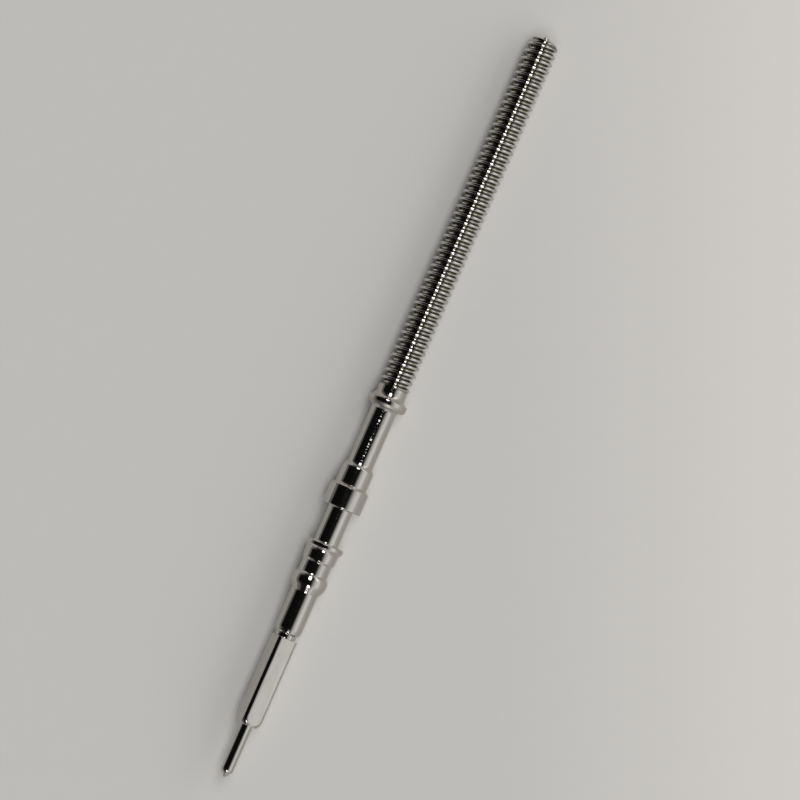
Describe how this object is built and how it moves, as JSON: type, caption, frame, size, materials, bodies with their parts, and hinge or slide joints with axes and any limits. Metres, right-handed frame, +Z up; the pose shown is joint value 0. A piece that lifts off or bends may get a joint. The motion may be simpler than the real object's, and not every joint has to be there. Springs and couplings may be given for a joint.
{
  "type": "watch winding stem",
  "caption": "Slender turned steel winding stem with a pilot pivot, a clutch square, a winding journal, a lever groove, collars, a flange and a long crown thread.",
  "frame": {"origin": "on the stem's axis, midway along the winding journal", "axes": "+X along the axis from the pilot pivot to the crown thread, +Z up as the stem lies loose on a table; the square's light upper flat faces 26 degrees from +Z towards -Y"},
  "size_m": [0.0224, 0.0012, 0.0012],
  "materials": {
    "stem_steel": "turned, hardened and polished steel with fine turning marks"
  },
  "bodies": {
    "root": {"winding_stem": "stem_steel"}
  },
  "joints": []
}
